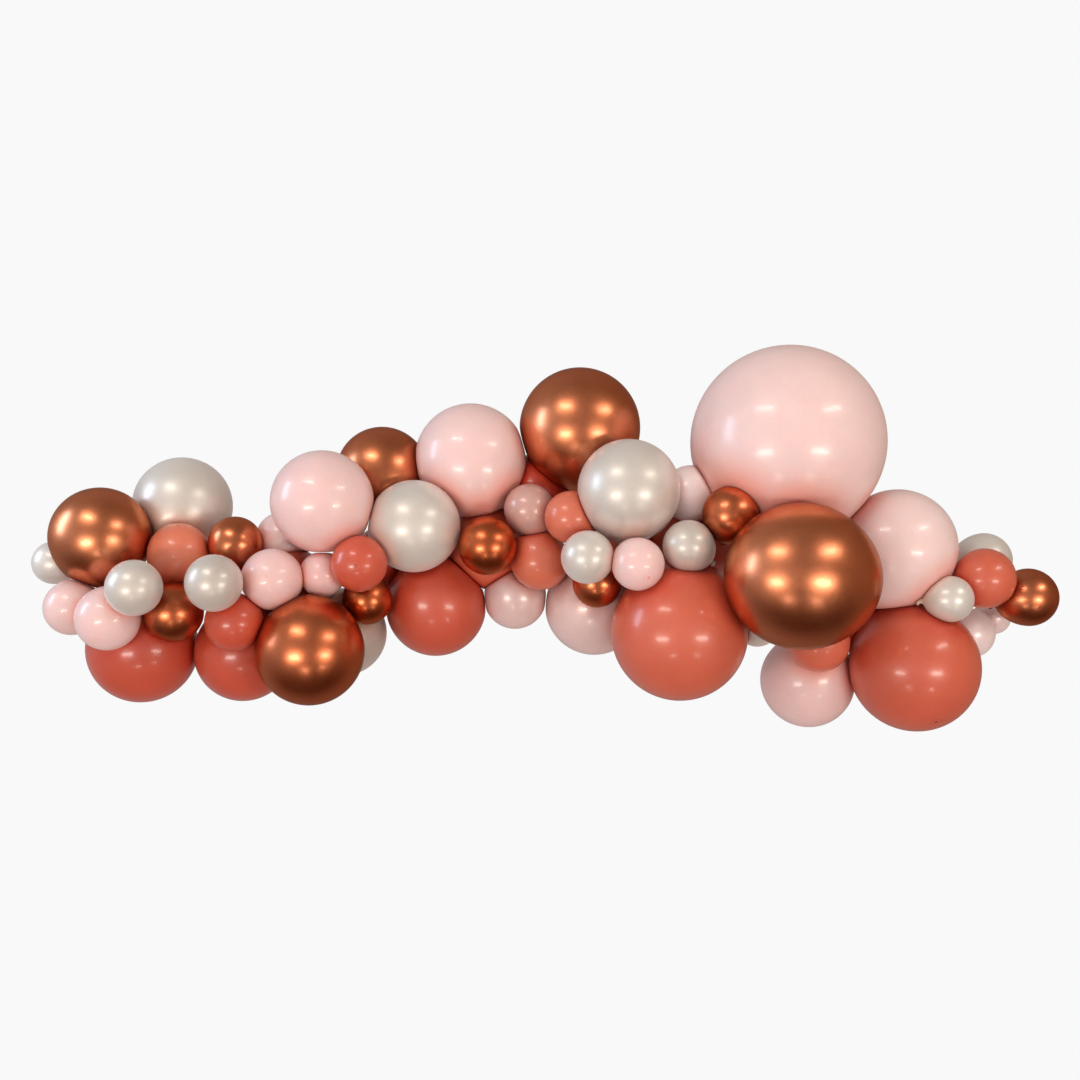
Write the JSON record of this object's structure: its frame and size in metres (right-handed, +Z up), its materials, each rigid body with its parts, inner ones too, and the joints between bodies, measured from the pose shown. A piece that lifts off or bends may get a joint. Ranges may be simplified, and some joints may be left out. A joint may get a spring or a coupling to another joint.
{
  "type": "balloon garland",
  "caption": "Organic wall garland of latex balloons of several sizes in pink, pearl, coral and chrome copper, packed along a gentle arc and flat where they press together.",
  "frame": {"origin": "the middle of the flat spot where copper_large_4, the top balloon of the garland, meets the wall", "axes": "+Z up, +Y into the wall, so the garland hangs in front of the plane y = 0, and +X along the garland to the viewer's right"},
  "size_m": [2.3872, 0.5776, 0.9085],
  "materials": {
    "pink": "glossy pale pink latex",
    "blush": "pearlised blush pink latex",
    "pearl": "pearl white latex with a satin metallic sheen",
    "coral": "glossy coral latex",
    "copper": "chrome copper latex, mirror-like"
  },
  "bodies": {
    "root": {"blush_large_1": "blush", "blush_small_1": "blush", "blush_small_2": "blush", "blush_small_3": "blush", "blush_small_4": "blush", "blush_small_5": "blush", "copper_giant": "copper", "copper_large_1": "copper", "copper_large_2": "copper", "copper_large_3": "copper", "copper_large_4": "copper", "copper_small_1": "copper", "copper_small_2": "copper", "copper_small_3": "copper", "copper_small_4": "copper", "copper_small_5": "copper", "copper_small_6": "copper", "copper_small_7": "copper", "coral_back_1": "coral", "coral_back_2": "coral", "coral_back_3": "coral", "coral_back_4": "coral", "coral_back_5": "coral", "coral_back_6": "coral", "coral_back_7": "coral", "coral_large_1": "coral", "coral_large_2": "coral", "coral_large_3": "coral", "coral_large_4": "coral", "coral_large_5": "coral", "coral_small_1": "coral", "coral_small_2": "coral", "coral_small_3": "coral", "coral_small_4": "coral", "coral_small_5": "coral", "coral_small_6": "coral", "coral_small_7": "coral", "pearl_large_1": "pearl", "pearl_large_2": "pearl", "pearl_large_3": "pearl", "pearl_large_4": "pearl", "pearl_small_1": "pearl", "pearl_small_2": "pearl", "pearl_small_3": "pearl", "pearl_small_4": "pearl", "pearl_small_5": "pearl", "pearl_small_6": "pearl", "pearl_small_7": "pearl", "pearl_small_8": "pearl", "pink_giant": "pink", "pink_large_1": "pink", "pink_large_2": "pink", "pink_large_3": "pink", "pink_large_4": "pink", "pink_small_1": "pink", "pink_small_2": "pink", "pink_small_3": "pink", "pink_small_4": "pink", "pink_small_5": "pink", "pink_small_6": "pink"}
  },
  "joints": []
}
